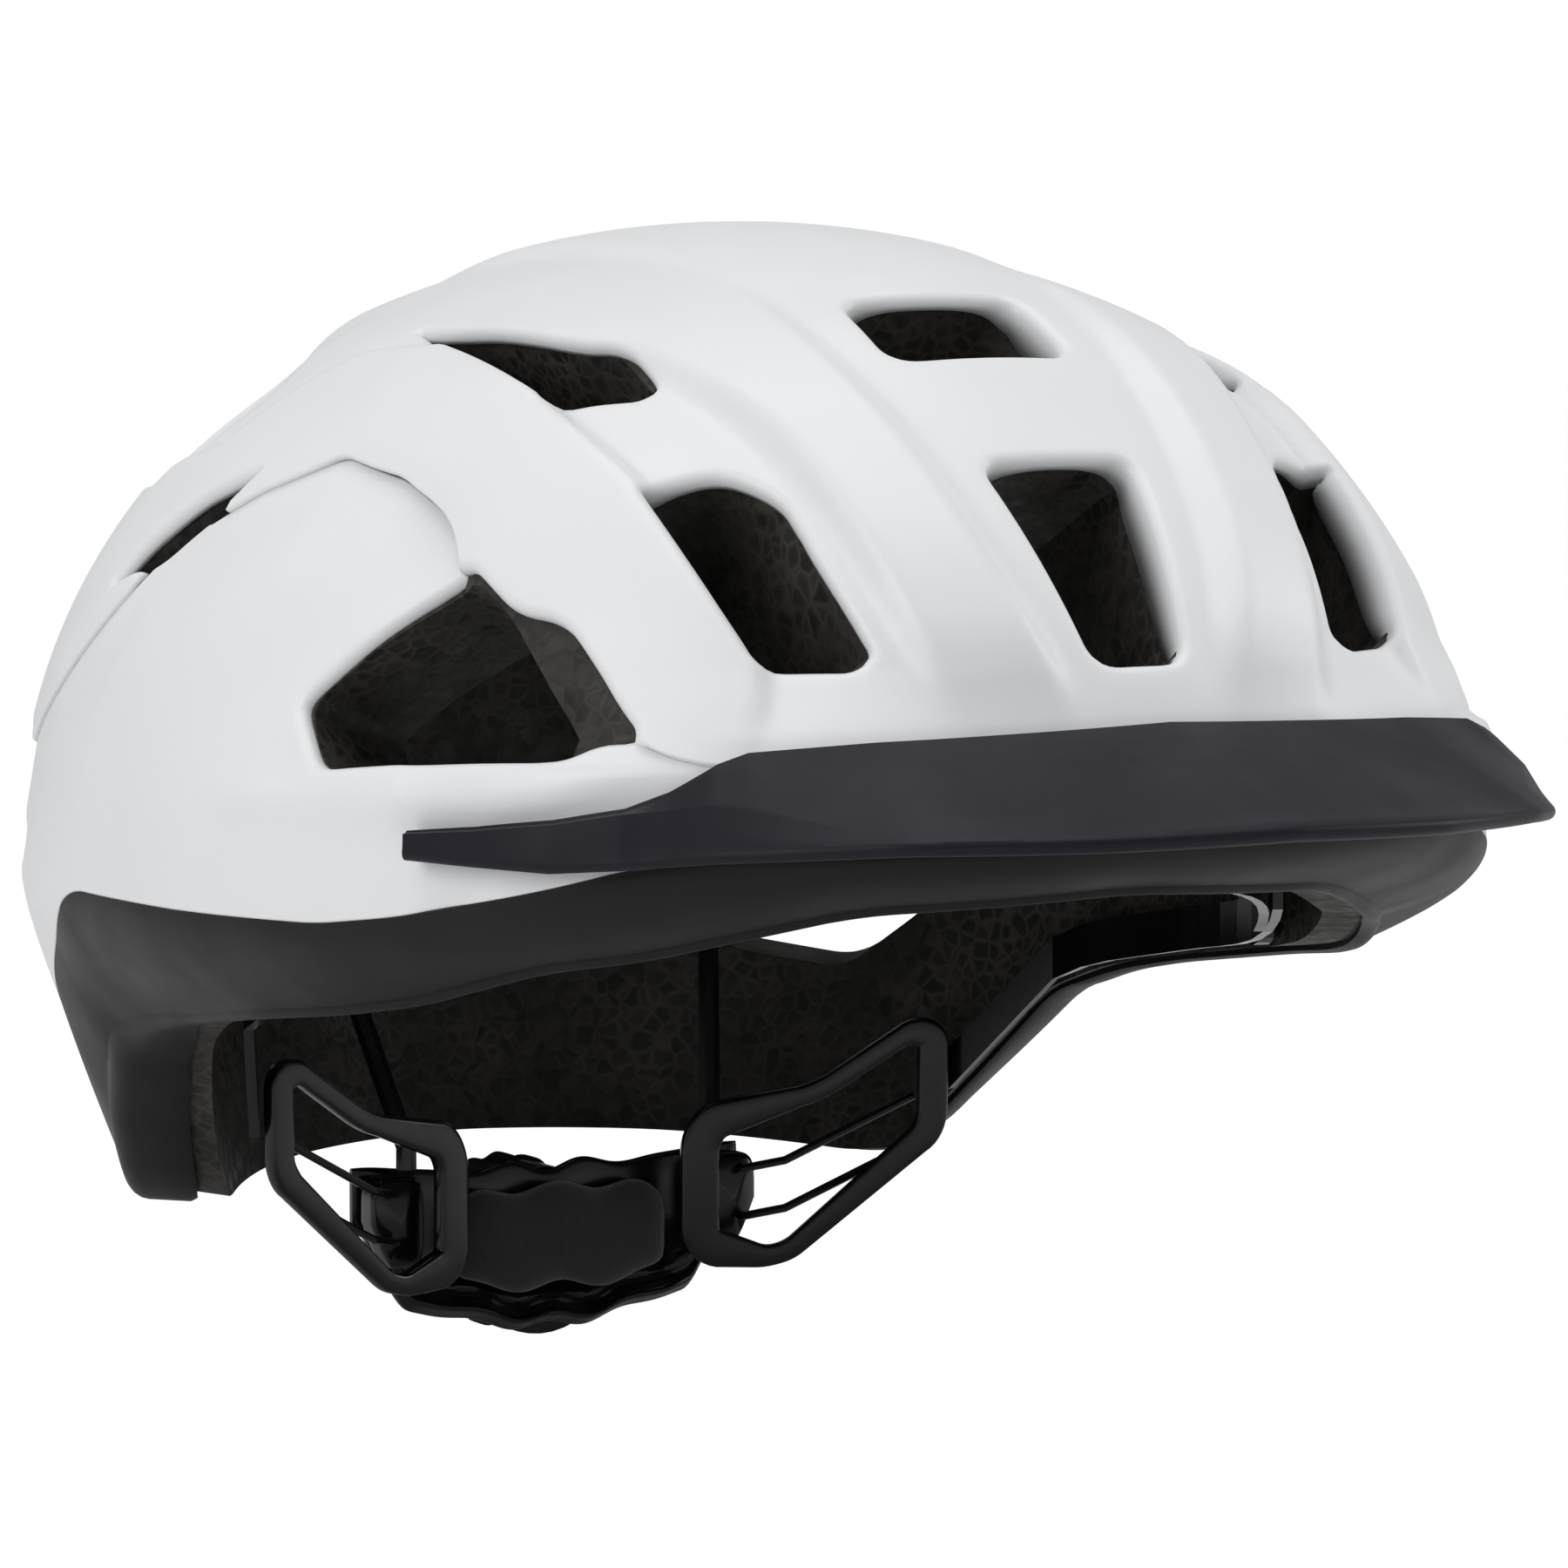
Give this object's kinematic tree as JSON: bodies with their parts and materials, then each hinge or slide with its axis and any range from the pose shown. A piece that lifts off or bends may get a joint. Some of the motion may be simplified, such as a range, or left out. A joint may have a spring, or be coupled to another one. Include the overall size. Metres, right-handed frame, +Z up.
{
  "type": "bicycle helmet",
  "caption": "Vented bicycle helmet with a white ribbed shell, a dark lower shell, a clip-on visor, foam liner and a dial-fitted nape cradle.",
  "frame": {"origin": "on the level of the lowest point of the dial, in the middle of the helmet's length and width", "axes": "+Z up as worn, -Y towards the front and the visor, +X to the wearer's left"},
  "size_m": [0.2098, 0.3108, 0.1878],
  "materials": {
    "shell_white": "satin moulded polycarbonate",
    "base_grey": "matte dark grey polycarbonate",
    "foam_black": "black bead foam",
    "visor_grey": "matte dark grey",
    "nylon_black": "semi-gloss nylon",
    "pad_black": "soft knit over foam",
    "lace_black": "woven lace",
    "grip_rubber": "matte ridged rubber",
    "spool_grey": "plain",
    "screw_steel": "plain"
  },
  "bodies": {
    "helmet": {"upper_shell": "shell_white", "side_panel_left": "shell_white", "side_panel_right": "shell_white", "rear_panel": "shell_white", "base_shell": "base_grey", "eps_liner": "foam_black", "post_anchor_left": "nylon_black", "post_anchor_right": "nylon_black", "halo_front_band": "nylon_black", "band_anchor_left": "nylon_black", "band_anchor_right": "nylon_black", "brow_pad": "pad_black", "crown_pad_left": "pad_black", "crown_pad_right": "pad_black", "strap_anchor_front_left": "nylon_black", "strap_anchor_front_right": "nylon_black", "strap_anchor_rear_left": "nylon_black", "strap_anchor_rear_right": "nylon_black"},
    "visor_unit": {"visor": "visor_grey", "visor_peg_left": "visor_grey", "visor_peg_right": "visor_grey"},
    "cradle": {"nape_carrier": "nylon_black", "nape_pad": "pad_black", "adjuster_housing": "nylon_black", "lace_guide_left": "nylon_black", "lace_guide_right": "nylon_black", "height_post_left": "nylon_black", "height_post_right": "nylon_black"},
    "dial": {"dial_core": "nylon_black", "dial_grip": "grip_rubber", "dial_screw": "screw_steel", "lace_spool": "spool_grey"},
    "arm_left": {"bracket_left": "nylon_black", "halo_arm_left": "nylon_black", "lace_lower_left": "lace_black", "lace_upper_left": "lace_black"},
    "arm_right": {"bracket_right": "nylon_black", "halo_arm_right": "nylon_black", "lace_lower_right": "lace_black", "lace_upper_right": "lace_black"}
  },
  "joints": [
    {"name": "visor_slide", "type": "slide", "parent": "helmet", "child": "visor_unit", "axis": [0, -1, 0], "range_m": [0, 0.02]},
    {"name": "cradle_height", "type": "slide", "parent": "helmet", "child": "cradle", "axis": [0, 0.2696, 0.963], "range_m": [-0.008, 0]},
    {"name": "dial_turn", "type": "hinge", "parent": "cradle", "child": "dial", "pos_m": [0, 0.0946, 0.016], "axis": [0, 1, 0], "range_deg": [0, 69]},
    {"name": "arm_left_slide", "type": "slide", "parent": "cradle", "child": "arm_left", "axis": [0, -1, 0], "range_m": [0, 0.006]},
    {"name": "arm_right_slide", "type": "slide", "parent": "cradle", "child": "arm_right", "axis": [0, -1, 0], "range_m": [0, 0.006]}
  ],
  "couplings": [
    {"joint": "dial_turn", "follows": "arm_left_slide", "rad_per_m": 200},
    {"joint": "arm_right_slide", "follows": "arm_left_slide", "ratio": 1}
  ]
}
